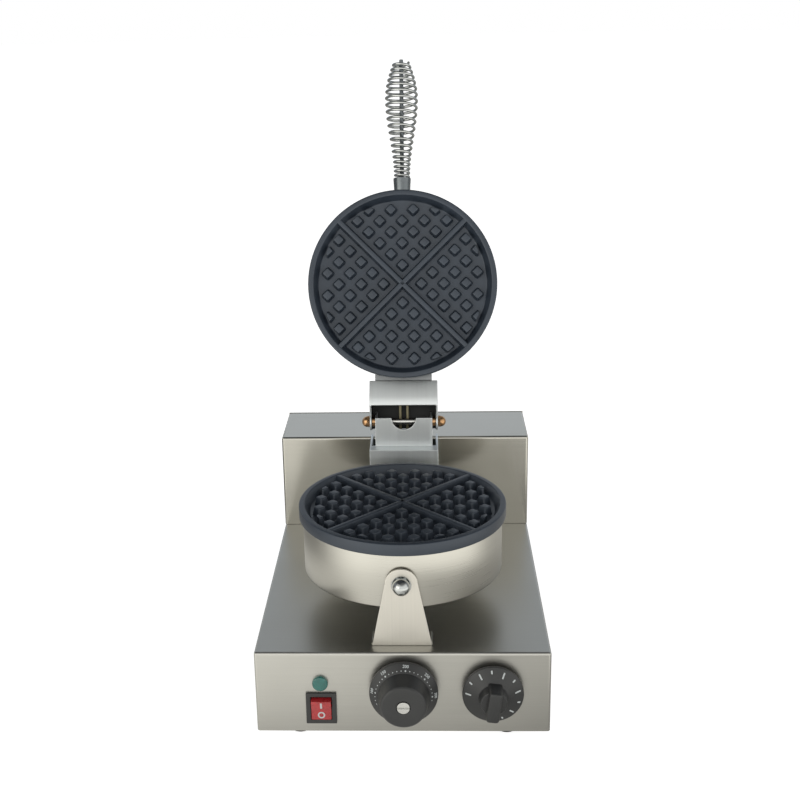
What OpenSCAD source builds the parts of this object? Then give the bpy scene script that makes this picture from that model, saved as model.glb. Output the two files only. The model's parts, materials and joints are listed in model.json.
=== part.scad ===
// Single-head round waffle baker: a box base with its controls, a rear housing, a fixed lower
// plate in a drum, and a lid that swings up and back on a bolt hinge.
// Millimetres, +Z up, the operator stands on the -Y side. The origin lies on the table under
// the middle of the machine. The lid is drawn open, leaning back on its stop.

/* [Base] */
// Width of the base and of the rear housing
base_w = 250; // [246:1:270]
// Depth of the base from front to back
base_d = 338; // [336:1:350]
// Height of the base box without its feet
base_h = 74.9; // [74:0.1:78]
// Height of the rubber feet
foot_h = 7.5; // [6.5:0.5:10]
// Diameter of a rubber foot
foot_d = 20; // [18:1:24]
// Thickness of the sheet metal
sheet_t = 1.2; // [1:0.1:1.5]
// Outside radius of the folded edges
fold_r = 2.5; // [1.6:0.1:3]

/* [Rear housing] */
// Depth of the rear housing
housing_d = 77; // [72:1:80]
// Height of the rear housing above the base
housing_h = 95.8; // [90:0.2:98]

/* [Cooking plates] */
// Diameter of the cooking plates
plate_d = 185; // [182:1:186]
// Distance of the plate centre behind the front panel
plate_y = 104.5; // [104:0.5:106]
// Height of the lower plate's rim above the table
plate_z = 175.9; // [175:0.1:177]
// Height of the outer edge of a plate
rim_h = 10.9; // [10:0.1:12]
// Width of the flat rim
rim_w = 5.2; // [5:0.1:6]
// Depth of the waffle pattern below the rim
pattern_depth = 8.5; // [7:0.5:9]
// Distance between the studs of the waffle pattern
stud_pitch = 15.5; // [15:0.1:16]
// Width of a stud at its root
stud_root = 9.5; // [9:0.1:10]
// Width of a stud at its top
stud_top = 7.5; // [6:0.1:8]
// Gap between the two rims with the lid shut
lid_gap = 0.8; // [0.6:0.1:1.2]

/* [Drums] */
// Diameter of the steel drums that hold the plates
drum_d = 178; // [176:0.5:178]
// Height of the lower drum
lower_drum_h = 49.5; // [48:0.5:51]
// Height of the lid's drum
upper_drum_h = 36; // [35:1:40]
// Wall of the drums
drum_wall = 1; // [0.8:0.1:1.2]

/* [Hinge] */
// Distance of the hinge bolt behind the front panel
hinge_y = 239; // [238.5:0.1:239.5]
// Height of the hinge bolt above the table
hinge_z = 202.8; // [202:0.1:204]
// Angle that the lid opens before it meets its stop
open_angle = 110.5; // [90:0.5:110.5]
// Diameter of the hinge bolt
hinge_bolt_d = 6; // [5:0.5:6]
// Width of both hinge brackets
bracket_w = 67; // [66:1:70]
// Width of the upright leaf of the lower bracket
leaf_w = 56; // [54:1:57]
// Thickness of the bracket plate
bracket_t = 2; // [1.8:0.1:2]

/* [Handle] */
// Length of the coil grip
coil_len = 119.5; // [110:0.5:122]
// Diameter of the coil's wire
coil_wire_d = 2.6; // [2.2:0.1:3]
// Number of turns of the coil
coil_turns = 20; // [16:1:22]
// Widest diameter of the coil
coil_big_d = 33.5; // [30:0.5:36]
// Diameter of the coil at its ends
coil_end_d = 16.4; // [15:0.2:17]
// Height of the handle above the lid's rim
handle_h = 28; // [26:1:30]

/* [Controls] */
// Place of the indicator lamp across the panel
lamp_x = -69.5; // [-76:0.5:-62]
// Height of the indicator lamp above the table
lamp_z = 54.1; // [52:0.1:56]
// Diameter of the indicator lens
lamp_d = 13.4; // [12.8:0.2:14]
// Place of the rocker switch across the panel
switch_x = -69.1; // [-76:0.1:-62]
// Height of the rocker switch above the table
switch_z = 30.4; // [29:0.1:32]
// Place of the thermostat across the panel
thermostat_x = 1.2; // [-4:0.1:6]
// Height of the thermostat above the table
thermostat_z = 48.9; // [48:0.1:52]
// Diameter of the thermostat knob's dial skirt
thermostat_skirt_d = 58; // [54:1:60]
// Place of the timer across the panel
timer_x = 76; // [72:0.5:80]
// Height of the timer above the table
timer_z = 47.6; // [46:0.1:50]
// Diameter of the timer knob's dial skirt
timer_skirt_d = 51.5; // [48:0.5:54]

/* [Hidden] */

$fn = 72;
eps = 1;                                      // overshoot of a cut past a face
fit = 0.05;                                   // radial clearance of a screw or shaft in its hole
origin_y = 172.3;                             // from the front panel to the machine's middle

base_top = foot_h + base_h;
housing_y = base_d - housing_d;
housing_top = base_top + housing_h;
inner_w = base_w - 2 * sheet_t;
flange_w = 14;                                // inward flanges of folded sheet
floor_z = foot_h + 2 * sheet_t;               // top of the bottom plate
bottom_screw_ys = [40, base_d / 2, base_d - 40];
foot_x = base_w / 2 - 36;
foot_ys = [18, base_d - 18];
foot_recess = 4;                              // from the table up to the foot screw's seat

plate_r = plate_d / 2;
cavity_r = plate_r - rim_w;                   // inner edge of the flat rim
floor_r = cavity_r - 4.5;                     // foot of the sloping rim wall
stud_reach = 80.4;                            // the studs are cut off round at this radius
drum_r = drum_d / 2;
saddle_r = drum_r + 0.1;                      // hollow of a saddle that seats on a drum
drum_rear_y = plate_y + drum_r;
drum_front_y = plate_y - drum_r;
plate_base = 4.5;                             // metal below the pattern's floor
skirt_h = 16;                                 // rim to the end of the plate's locating skirt
element_r = 60;
element_d = 8;
grid_screw_r = 40;

column_y = drum_rear_y + 20.5;                // front face of the column bracket
ledge_z = 181.7;                              // top of the column and of its ledge
leaf_y = 226;                                 // front face of the upright leaf
leaf_top = 210.7;
ear_back = 11;                                // ears behind the hinge bolt
web_h = 14;                                   // underside of the lid bracket's web above the bolt
web_back = 7;                                 // web behind the hinge bolt
lid_front_y = 199;                            // front wall of the lid bracket
flange_r = 8.5;                               // round end of the lid bracket's flanges
lip_ys = [214.6, 223.6];                      // flat lip under the lid bracket
lip_z = 187;
drum_bolt_z = 142;                            // bolts between the lower drum and the column
drum_bolt_x = 18;
lid_bolt_z = 206;

tab_y = 12;                                   // front face of the front bracket
tab_foot_w = 51;
tab_top_w = 28;
tab_bolt_z = 139;
tab_head_z = 139.5;                           // middle of the bracket's round head

rocker_tilt = 10;                             // the rocker rests tipped this far to its lower side
rocker_pivot = -3;                            // rocker pivot behind the panel face

steel = [0.72, 0.72, 0.68];
satin = [0.80, 0.81, 0.81];
cast = [0.24, 0.27, 0.31];
black = [0.16, 0.16, 0.17];
shiny = [0.86, 0.86, 0.85];
brass = [0.72, 0.52, 0.26];
rubber = [0.10, 0.10, 0.10];
ceramic = [0.88, 0.86, 0.80];
copper = [0.70, 0.40, 0.25];

// ---------- helpers ----------

// From the front panel's own place to the machine's frame
module place() {
    translate([0, -origin_y, 0]) children();
}

// The lid's parts are drawn shut and swung open about the hinge bolt
module opened() {
    translate([0, hinge_y, hinge_z])
        rotate([-open_angle, 0, 0])
            translate([0, -hinge_y, -hinge_z]) children();
}

// On the front panel: X right, Y up, Z out of the panel
module on_panel(x, z) {
    translate([x, 0, z]) rotate([90, 0, 0]) children();
}

// A profile drawn as X = machine Y, Y = machine Z, extruded from x0 to x1
module across(x0, x1) {
    translate([x0, 0, 0]) rotate([90, 0, 90]) linear_extrude(x1 - x0) children();
}

// A round bar along X
module bar_x(d, x0, x1) {
    translate([x0, 0, 0]) rotate([0, 90, 0]) cylinder(d = d, h = x1 - x0);
}

// A round bar along Y
module bar_y(d, y0, y1) {
    translate([0, y0, 0]) rotate([-90, 0, 0]) cylinder(d = d, h = y1 - y0);
}

module mirror_x() {
    children();
    mirror([1, 0, 0]) children();
}

module box_from(x0, x1, y0, y1, z0, z1) {
    translate([x0, y0, z0]) cube([x1 - x0, y1 - y0, z1 - z0]);
}

// Rectangle with its two upper corners rounded
module arch_rect(x0, x1, y0, y1, r) {
    translate([x0, y0]) square([x1 - x0, y1 - y0 - r]);
    translate([x0 + r, y0]) square([x1 - x0 - 2 * r, y1 - y0]);
    for (x = [x0 + r, x1 - r])
        translate([x, y1 - r]) circle(r = r, $fn = 32);
}

// Folded box with rounded upper edges and corners
module folded_box(y0, y1, z0, z1, w, r) {
    intersection() {
        translate([0, y1, 0]) rotate([90, 0, 0])
            linear_extrude(y1 - y0) arch_rect(-w / 2, w / 2, z0, z1, r);
        across(-w / 2 - eps, w / 2 + eps) arch_rect(y0, y1, z0 - eps, z1, r);
        translate([0, 0, z0 - eps]) linear_extrude(z1 - z0 + 2 * eps) union() {
            translate([-w / 2, y0 + r]) square([w, y1 - y0 - 2 * r]);
            translate([-w / 2 + r, y0]) square([w - 2 * r, y1 - y0]);
            for (x = [-w / 2 + r, w / 2 - r], y = [y0 + r, y1 - r])
                translate([x, y]) circle(r = r, $fn = 32);
        }
    }
}

// Pan-head screw: head above Z = 0, shank below
module pan_screw(d, len, head_d, head_h) {
    difference() {
        union() {
            cylinder(d = head_d, h = head_h);
            translate([0, 0, -len]) cylinder(d = d, h = len + 0.1);
        }
        for (a = [0, 90]) rotate(a)
            translate([-head_d * 0.3, -0.5, head_h - 0.8]) cube([head_d * 0.6, 1, 2]);
    }
}

module hex_nut(flats, h, bore) {
    difference() {
        cylinder(d = flats / cos(30), h = h, $fn = 6);
        translate([0, 0, -eps]) cylinder(d = bore, h = h + 2 * eps);
    }
}

// Dome nut: hexagon, then a round cap with a blind thread
module dome_nut(flats, hex_h, dome_d, bore, depth) {
    difference() {
        union() {
            cylinder(d = flats / cos(30), h = hex_h, $fn = 6);
            translate([0, 0, hex_h]) intersection() {
                sphere(d = dome_d, $fn = 48);
                cylinder(d = dome_d + eps, h = dome_d);
            }
        }
        translate([0, 0, -eps]) cylinder(d = bore, h = depth + eps);
    }
}

// ---------- base ----------

module panel_holes() {
    on_panel(lamp_x, lamp_z) translate([0, 0, -4]) cylinder(d = 12, h = 8);
    on_panel(switch_x, switch_z) translate([-11, -12.5, -4]) cube([22, 25, 8]);
    for (c = [[thermostat_x, thermostat_z], [timer_x, timer_z]])
        on_panel(c[0], c[1]) translate([0, 0, -4]) {
            cylinder(d = 10, h = 8);
            for (s = [-14, 14]) translate([s, 0, 0]) cylinder(d = 4.4, h = 8);
        }
}

gland_x = -80;
gland_z = 40;

module base_shell() {
    color(steel) difference() {
        folded_box(0, base_d, foot_h, base_top, base_w, fold_r);
        box_from(-inner_w / 2, inner_w / 2, sheet_t, base_d - sheet_t, foot_h + sheet_t, base_top - sheet_t);
        box_from(-base_w / 2 + flange_w, base_w / 2 - flange_w, flange_w, base_d - flange_w, 0, foot_h + 2);
        panel_holes();
        // the flanges are cut back around the feet
        for (x = [-foot_x, foot_x], y = foot_ys)
            translate([x, y, foot_h - eps]) cylinder(d = foot_d + 1, h = sheet_t + 2);
        // cord gland in the back wall
        translate([gland_x, 0, gland_z]) bar_y(16.2, base_d - 4, base_d + 4);
        // wire way into the column, and the bracket screws
        translate([0, hinge_y - 2, base_top - 4]) cylinder(d = 30, h = 8);
        for (x = [-14, 14]) translate([x, tab_y + 12, base_top - 4]) cylinder(d = 5.4, h = 8);
        mirror_x() for (y = column_screw_ys)
            translate([column_screw_x, y, base_top - 4]) cylinder(d = 5.4, h = 8);
        mirror_x() for (y = housing_screw_ys)
            translate([housing_screw_x, y, base_top - 4]) cylinder(d = 4.4, h = 8);
        mirror_x() for (y = bottom_screw_ys)
            translate([base_w / 2 - 8, y, foot_h - 2]) cylinder(d = 4.4, h = 6);
    }
}

module bottom_plate() {
    w = inner_w - 1;
    color(steel) difference() {
        box_from(-w / 2, w / 2, sheet_t + 0.5, base_d - sheet_t - 0.5, foot_h + sheet_t, floor_z);
        mirror_x() for (y = bottom_screw_ys)
            translate([base_w / 2 - 8, y, foot_h]) cylinder(d = 4 + 2 * fit, h = 6);
        for (x = [-foot_x, foot_x], y = foot_ys)
            translate([x, y, foot_h]) cylinder(d = 5.4, h = 6);
        // cooling slots
        for (i = [-3 : 3], y = [90, 200])
            box_from(i * 14 - 2.5, i * 14 + 2.5, y, y + 46, foot_h, floor_z + eps);
    }
}

module bottom_screws() {
    color(shiny) mirror_x() for (y = bottom_screw_ys)
        translate([base_w / 2 - 8, y, foot_h]) rotate([180, 0, 0]) pan_screw(4, 8, 7.6, 2.4);
}

// Feet with a deep recess for their screws; the flange of the shell is cut back around them
module rubber_feet() {
    color(rubber) for (x = [-foot_x, foot_x], y = foot_ys)
        translate([x, y, 0]) difference() {
            rotate_extrude() polygon([
                [0, 0], [foot_d / 2 - 2, 0], [foot_d / 2, 1.5], [foot_d / 2 - 1.5, foot_h + sheet_t],
                [0, foot_h + sheet_t]
            ]);
            translate([0, 0, -eps]) cylinder(d = 10, h = foot_recess + eps);
            cylinder(d = 5 + 4 * fit, h = foot_h * 2);
        }
}

module foot_screws() {
    color(shiny) for (x = [-foot_x, foot_x], y = foot_ys)
        translate([x, y, foot_recess]) rotate([180, 0, 0]) pan_screw(5, 14, 9, 2.4);
}

module foot_nuts() {
    color(shiny) for (x = [-foot_x, foot_x], y = foot_ys)
        translate([x, y, floor_z]) hex_nut(8, 4, 5 + 2 * fit);
}

// ---------- rear housing ----------

housing_screw_x = base_w / 2 - 8;
housing_screw_ys = [housing_y + 20, base_d - 20];
cover_screw_zs = [base_top + 16, housing_top - 16];

// Five-sided hood, open at the back and below, with flanges that take the screws
module rear_housing() {
    color(steel) difference() {
        folded_box(housing_y, base_d, base_top, housing_top, base_w, fold_r);
        box_from(-inner_w / 2, inner_w / 2, housing_y + sheet_t, base_d - sheet_t,
                 base_top + sheet_t, housing_top - sheet_t);
        box_from(-base_w / 2 + flange_w, base_w / 2 - flange_w, housing_y + sheet_t, base_d - sheet_t,
                 base_top - eps, base_top + 2);
        box_from(-base_w / 2 + flange_w, base_w / 2 - flange_w, base_d - 3, base_d + eps,
                 base_top - eps, housing_top - flange_w);
        mirror_x() for (y = housing_screw_ys)
            translate([housing_screw_x, y, base_top - 2]) cylinder(d = 4.4, h = 6);
        mirror_x() for (z = cover_screw_zs)
            translate([housing_screw_x, 0, z]) bar_y(4 + 2 * fit, base_d - 4, base_d + 2);
    }
}

module housing_screws() {
    color(shiny) mirror_x() for (y = housing_screw_ys)
        translate([housing_screw_x, y, base_top - sheet_t]) rotate([180, 0, 0]) pan_screw(4, 8, 7.6, 2.4);
}

module rear_cover() {
    color(steel) difference() {
        box_from(-base_w / 2, base_w / 2, base_d, base_d + sheet_t, base_top, housing_top);
        mirror_x() for (z = cover_screw_zs)
            translate([housing_screw_x, 0, z]) bar_y(4.4, base_d - 2, base_d + 4);
        // ventilation slots
        for (i = [-2 : 2], s = [-1, 1])
            box_from(s * 52 - 34, s * 52 + 34, base_d - eps, base_d + 4,
                     base_top + housing_h / 2 + i * 12 - 1.5, base_top + housing_h / 2 + i * 12 + 1.5);
    }
}

module rear_cover_screws() {
    color(shiny) mirror_x() for (z = cover_screw_zs)
        translate([housing_screw_x, base_d + sheet_t, z]) rotate([-90, 0, 0]) pan_screw(4, 9, 7.6, 2.4);
}

// ---------- mains inlet ----------

// Cord gland with a through bore for an 8 mm cord
module cable_gland() {
    color(black) translate([gland_x, base_d, gland_z]) rotate([-90, 0, 0]) difference() {
        union() {
            cylinder(d = 22 / cos(30), h = 5, $fn = 6);
            translate([0, 0, 5]) cylinder(d = 19, h = 7);
            translate([0, 0, 12]) cylinder(d1 = 19, d2 = 13, h = 6);
            translate([0, 0, -12]) cylinder(d = 16, h = 12.1);
        }
        translate([0, 0, -13]) cylinder(d = 8.4, h = 33);
    }
}

module gland_locknut() {
    color(black) translate([gland_x, base_d - sheet_t - 5, gland_z]) rotate([-90, 0, 0])
        hex_nut(22, 5, 16 + 2 * fit);
}

block_y = 270;

module terminal_block() {
    color(ceramic) difference() {
        box_from(-100, -60, block_y, block_y + 22, floor_z, floor_z + 16);
        for (x = [-92, -80, -68]) {
            translate([x, 0, floor_z + 7]) bar_y(5, block_y - eps, block_y + 24);
            translate([x, block_y + 6, floor_z + 7]) cylinder(d = 4.2, h = 12);
            translate([x, block_y + 16, floor_z + 7]) cylinder(d = 4.2, h = 12);
        }
    }
}

module terminal_screws() {
    color(brass) for (x = [-92, -80, -68], y = [block_y + 6, block_y + 16])
        translate([x, y, floor_z + 10]) difference() {
            cylinder(d = 4, h = 5);
            translate([-2.5, -0.4, 4.2]) cube([5, 0.8, 2]);
        }
}

// ---------- front support of the lower drum ----------

// Tapered tab with a round head, its foot folded back under the drum
module front_bracket() {
    head_r = tab_top_w / 2;
    color(steel) difference() {
        union() {
            translate([0, tab_y + bracket_t, 0]) rotate([90, 0, 0]) linear_extrude(bracket_t) union() {
                polygon([
                    [-tab_foot_w / 2, base_top], [tab_foot_w / 2, base_top],
                    [head_r, tab_head_z], [-head_r, tab_head_z]
                ]);
                translate([0, tab_head_z]) circle(r = head_r * 0.99);
            }
            box_from(-tab_foot_w / 2, tab_foot_w / 2, tab_y + 0.5, tab_y + 22, base_top, base_top + bracket_t);
        }
        translate([0, 0, tab_bolt_z]) bar_y(6 + 2 * fit, 0, 30);
        for (x = [-14, 14])
            translate([x, tab_y + 12, base_top - eps]) cylinder(d = 5 + 4 * fit, h = 6);
    }
}

module front_bracket_screws() {
    color(shiny) for (x = [-14, 14])
        translate([x, tab_y + 12, base_top + bracket_t]) pan_screw(5, 10, 9, 2.8);
}

// Saddle between the flat bracket and the round drum
module front_spacer() {
    color(satin) difference() {
        translate([0, 0, tab_bolt_z]) bar_y(14, tab_y + bracket_t, tab_y + 6);
        translate([0, plate_y, 0]) cylinder(r = saddle_r, h = 200, $fn = 180);
        translate([0, 0, tab_bolt_z]) bar_y(6 + 2 * fit, 0, 30);
    }
}

module front_bolt() {
    color(shiny) translate([0, 0, tab_bolt_z]) {
        bar_y(6, tab_y - 8, drum_front_y + 4.2);
        translate([0, drum_front_y + 4, 0]) rotate([-90, 0, 0]) cylinder(d = 10 / cos(30), h = 4, $fn = 6);
    }
}

module front_washer() {
    color(shiny) translate([0, tab_y, tab_bolt_z]) rotate([90, 0, 0]) difference() {
        cylinder(d = 17, h = 1.4);
        translate([0, 0, -eps]) cylinder(d = 6 + 2 * fit, h = 4);
    }
}

module front_dome_nut() {
    color(shiny) translate([0, tab_y - 1.4, tab_bolt_z]) rotate([90, 0, 0])
        dome_nut(13, 2.2, 15, 6 + 2 * fit, 7);
}

// ---------- drum, plate, element: the same kit below and in the lid ----------
// Local frame of a kit: Z = 0 is the plate's rim, the pattern faces up, the drum hangs below.

module waffle_studs() {
    first = 13.1;
    half_root = stud_root / 2;
    half_top = stud_top / 2;
    h = pattern_depth - 1;
    span = function (i) first + min(4, 5 - i) * stud_pitch + stud_pitch / 2;
    for (q = [0 : 3]) rotate(45 + 90 * q) translate([0, 0, -pattern_depth - 0.2])
        intersection() {
            for (i = [0 : 4]) translate([0, first + i * stud_pitch, 0]) rotate([90, 0, 90])
                linear_extrude(span(i)) stud_profile(half_root, half_top, h);
            for (i = [0 : 4]) translate([first + i * stud_pitch, span(i), 0]) rotate([90, 0, 0])
                linear_extrude(span(i)) stud_profile(half_root, half_top, h);
            cylinder(r = stud_reach, h = 30, center = true);
        }
}

module stud_profile(half_root, half_top, h) {
    polygon([[-half_root, 0], [half_root, 0], [half_top, h + 0.2], [-half_top, h + 0.2]]);
}

module cross_ribs() {
    len = 2 * cavity_r;
    for (a = [45, 135]) rotate(a) translate([-len / 2, 0, -pattern_depth - 0.2]) rotate([90, 0, 90])
        linear_extrude(len) polygon([[-3.5, 0], [3.5, 0], [2.3, pattern_depth - 0.3], [-2.3, pattern_depth - 0.3]]);
}

module grid_plate() {
    floor_top = -pattern_depth;
    floor_low = floor_top - plate_base;
    difference() {
        union() {
            rotate_extrude($fn = 180) polygon([
                [0, floor_low], [0, floor_top], [floor_r, floor_top], [cavity_r, 0],
                [plate_r - 1, 0], [plate_r, -1], [plate_r, -rim_h],
                [drum_r - drum_wall - 0.4, -rim_h], [drum_r - drum_wall - 0.4, -skirt_h],
                [drum_r - drum_wall - 4.4, -skirt_h], [drum_r - drum_wall - 4.4, floor_low]
            ]);
            waffle_studs();
            intersection() {
                cross_ribs();
                cylinder(r = cavity_r + 0.5, h = 30, center = true);
            }
            for (a = [0 : 90 : 270]) rotate(a) translate([grid_screw_r, 0, -skirt_h])
                cylinder(d = 12, h = skirt_h + floor_low + 0.5);
        }
        for (a = [0 : 90 : 270]) rotate(a) translate([grid_screw_r, 0, -skirt_h - eps])
            cylinder(d = 5 + 2 * fit, h = 7);
    }
}

// Tubular heater: an open ring with two cold ends that turn down
module heater_ring() {
    gap = 12;
    reach = 2 * element_r;
    translate([0, 0, -pattern_depth - plate_base - element_d / 2 - 0.6]) {
        difference() {
            rotate_extrude($fn = 96) translate([element_r, 0]) circle(d = element_d, $fn = 24);
            translate([0, 0, -element_d]) linear_extrude(2 * element_d)
                polygon([[0, 0], [reach, -reach * tan(gap)], [reach, reach * tan(gap)]]);
        }
        for (a = [gap, -gap]) rotate(a) translate([element_r, 0, 0]) {
            translate([0, 0, -13]) cylinder(d = element_d + 1, h = 13 + element_d / 2 + 0.5);
            translate([0, 0, -19]) cylinder(d = 3, h = 7);
        }
    }
}

// Flat tray under the element, with holes for the cold ends and the screws
module heat_shield() {
    z = -pattern_depth - plate_base - element_d - 1.8;
    translate([0, 0, z]) difference() {
        cylinder(r = 78, h = 1);
        for (a = [12, -12]) rotate(a) translate([element_r, 0, -eps]) cylinder(d = 11, h = 4);
        for (a = [0 : 90 : 270]) rotate(a) translate([grid_screw_r, 0, -eps]) cylinder(d = 13, h = 4);
    }
}

// Drum with a rounded lower edge; depth is measured from its open edge to its closed end
module drum(h) {
    r = 1.5;
    top = -rim_h;
    low = top - h;
    w = drum_wall;
    difference() {
        rotate_extrude($fn = 180) union() {
            translate([drum_r - w, low + r]) square([w, h - r]);
            translate([0, low]) square([drum_r - r, w]);
            translate([drum_r - r, low + r]) intersection() {
                difference() {
                    circle(r = r, $fn = 32);
                    circle(r = r - w, $fn = 32);
                }
                translate([0, -r]) square([r, r]);
            }
        }
        for (a = [0 : 90 : 270]) rotate(a) translate([grid_screw_r, 0, low - eps]) cylinder(d = 5.4, h = 4);
    }
}

// Long screws from the drum's closed end into the plate's bosses
module grid_screws(h) {
    low = -rim_h - h;
    for (a = [0 : 90 : 270]) rotate(a) translate([grid_screw_r, 0, low]) rotate([180, 0, 0])
        pan_screw(5, h + rim_h - skirt_h + 5, 9, 2.8);
}

module lower_kit() {
    translate([0, plate_y, plate_z]) children();
}

// The lid's kit faces down
module upper_kit() {
    opened() translate([0, plate_y, plate_z + lid_gap]) rotate([0, 180, 0]) rotate(180) children();
}

module lower_drum() {
    color(steel) difference() {
        lower_kit() drum(lower_drum_h);
        translate([0, 0, tab_bolt_z]) bar_y(6.4, drum_front_y - 5, drum_front_y + 5);
        mirror_x() translate([drum_bolt_x, 0, drum_bolt_z]) bar_y(6.4, plate_y + 60, drum_rear_y + 5);
        translate([0, 0, drum_bolt_z]) bar_y(12, plate_y + 60, drum_rear_y + 5);
    }
}

module lower_grid() {
    color(cast) lower_kit() grid_plate();
}

module lower_element() {
    color(steel) lower_kit() rotate(90) heater_ring();
}

module lower_heat_shield() {
    color(shiny) lower_kit() rotate(90) heat_shield();
}

module lower_grid_screws() {
    color(shiny) lower_kit() grid_screws(lower_drum_h);
}

// ---------- column bracket: carries the drum's back and the hinge ----------

column_screw_x = bracket_w / 2 + 9;
column_screw_ys = [column_y + 10, column_y + 34];

module column_bracket() {
    half = bracket_w / 2;
    color(satin) difference() {
        union() {
            // channel, open at the back
            difference() {
                box_from(-half, half, column_y, housing_y, base_top, ledge_z);
                box_from(-half + bracket_t, half - bracket_t, column_y + bracket_t, housing_y + eps,
                         base_top - eps, ledge_z - bracket_t);
                box_from(-half + bracket_t, half - bracket_t, leaf_y + bracket_t, housing_y + eps,
                         ledge_z - 2 * bracket_t, ledge_z + eps);
            }
            // foot flanges
            mirror_x() box_from(half - eps, half + 18, column_y, column_y + 44, base_top, base_top + bracket_t);
            // leaf and its two ears
            box_from(-leaf_w / 2, leaf_w / 2, leaf_y, leaf_y + bracket_t, ledge_z - bracket_t, leaf_top);
            mirror_x() across(leaf_w / 2 - bracket_t, leaf_w / 2) polygon([
                [leaf_y, ledge_z + 4], [hinge_y + 1, ledge_z + 4],
                [hinge_y + ear_back, hinge_z - 9.8], [hinge_y + ear_back, leaf_top - 4],
                [hinge_y + ear_back - 4, leaf_top], [leaf_y, leaf_top]
            ]);
        }
        // notch for the leads
        translate([0, leaf_y - eps, leaf_top]) rotate([-90, 0, 0]) cylinder(r = 12, h = 5);
        translate([0, hinge_y, hinge_z]) bar_x(hinge_bolt_d + 2 * fit, -40, 40);
        mirror_x() translate([drum_bolt_x, 0, drum_bolt_z]) bar_y(6.4, column_y - 2, column_y + 5);
        translate([0, 0, drum_bolt_z]) bar_y(12, column_y - 2, column_y + 5);
        mirror_x() for (y = column_screw_ys)
            translate([column_screw_x, y, base_top - eps]) cylinder(d = 5 + 4 * fit, h = 6);
    }
}

module column_screws() {
    color(shiny) mirror_x() for (y = column_screw_ys)
        translate([column_screw_x, y, base_top + bracket_t]) pan_screw(5, 10, 9, 2.8);
}

// Saddle block between the drum's round back and the column's flat front
module column_spacer() {
    color(satin) saddle_block(column_y, drum_bolt_z, 12, drum_bolt_x);
}

module saddle_block(y_back, z, half_h, bolt_x) {
    difference() {
        box_from(-28, 28, plate_y + 80, y_back, z - half_h, z + half_h);
        translate([0, plate_y, z - 2 * half_h]) cylinder(r = saddle_r, h = 4 * half_h, $fn = 180);
        mirror_x() translate([bolt_x, 0, z]) bar_y(6 + 4 * fit, plate_y, y_back + 5);
        translate([0, 0, z]) bar_y(12, plate_y, y_back + 5);
    }
}

// Bolts with their heads inside the drum and nuts behind the bracket
module saddle_bolts(y_back, z, bolt_x) {
    head_y = plate_y + sqrt(pow(drum_r, 2) - pow(bolt_x + 6, 2)) - drum_wall - 5;
    mirror_x() translate([bolt_x, 0, z]) {
        bar_y(6, head_y, y_back + bracket_t + 8);
        translate([0, head_y, 0]) rotate([-90, 0, 0]) cylinder(d = 10 / cos(30), h = 4, $fn = 6);
        translate([0, y_back + bracket_t, 0]) rotate([-90, 0, 0]) cylinder(d = 10 / cos(30), h = 5, $fn = 6);
    }
}

module column_bolts() {
    color(shiny) saddle_bolts(column_y, drum_bolt_z, drum_bolt_x);
}

// ---------- hinge ----------

module hinge_bolt() {
    color(shiny) translate([0, hinge_y, hinge_z])
        bar_x(hinge_bolt_d, -bracket_w / 2 - 4.5, bracket_w / 2 + 4.5);
}

module hinge_dome_nuts() {
    color(brass) mirror_x() translate([bracket_w / 2 + 0.2, hinge_y, hinge_z]) rotate([0, 90, 0])
        dome_nut(10, 2.4, 10.6, hinge_bolt_d + 2 * fit, 4.6);
}

// Bushes between the ears and the lid's flanges
module hinge_bushes() {
    x0 = leaf_w / 2;
    x1 = bracket_w / 2 - bracket_t - 0.2;
    color(brass) mirror_x() translate([0, hinge_y, hinge_z]) difference() {
        bar_x(10, x0, x1);
        bar_x(hinge_bolt_d + 2 * fit, x0 - eps, x1 + eps);
    }
}

// Two insulated leads from the lid, over the hinge bolt and down the column
lead_path = [
    [257.6, 243.3], [255.5, 237.7], [251.5, 226], [248.5, 217], [246.5, 208], [245, 196],
    [243, 184], [240, 168], [238, 150], [237, 120], [237, 80], [237, 60]
];
lead_d = 2.6;

module lid_leads() {
    color(ceramic) for (x = [-3.6, 3.6])
        tube_along([for (p = lead_path) [x, p[0], p[1]]], lead_d / 2, 8);
}

// Tube swept along points that lie in a plane of constant X
module tube_along(path, r, sides) {
    n = len(path);
    points = [
        for (i = [0 : n - 1])
            let (
                d = path[min(i + 1, n - 1)] - path[max(i - 1, 0)],
                a = atan2(d[2], d[1])
            )
            for (k = [0 : sides - 1])
                let (t = 360 * k / sides)
                path[i] + [r * cos(t), -r * sin(t) * sin(a), r * sin(t) * cos(a)]
    ];
    side_faces = [
        for (i = [0 : n - 2], k = [0 : sides - 1])
            let (a = i * sides + k, b = i * sides + (k + 1) % sides)
            each [[a, b, b + sides], [a, b + sides, a + sides]]
    ];
    first_cap = [[for (k = [sides - 1 : -1 : 0]) k]];
    last_cap = [[for (k = [0 : sides - 1]) (n - 1) * sides + k]];
    polyhedron(points = points, faces = concat(side_faces, first_cap, last_cap));
}

// ---------- controls ----------

module lamp_lens() {
    color([0.10, 0.42, 0.32]) on_panel(lamp_x, lamp_z) rotate_extrude() polygon(concat(
        [[0, 0], [lamp_d / 2, 0], [lamp_d / 2, 1]],
        [for (a = [0 : 10 : 90]) [lamp_d / 2 - 1.4 + 1.4 * cos(a), 2 + 1.4 * sin(a)]], [[0, 3.4]]
    ));
}

module lamp_body() {
    color(black) on_panel(lamp_x, lamp_z) translate([0, 0, -22]) cylinder(d = 11.6, h = 22);
}

module lamp_nut() {
    color(black) on_panel(lamp_x, lamp_z) translate([0, 0, -sheet_t - 3]) hex_nut(15, 3, 11.6 + 2 * fit);
}

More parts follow.
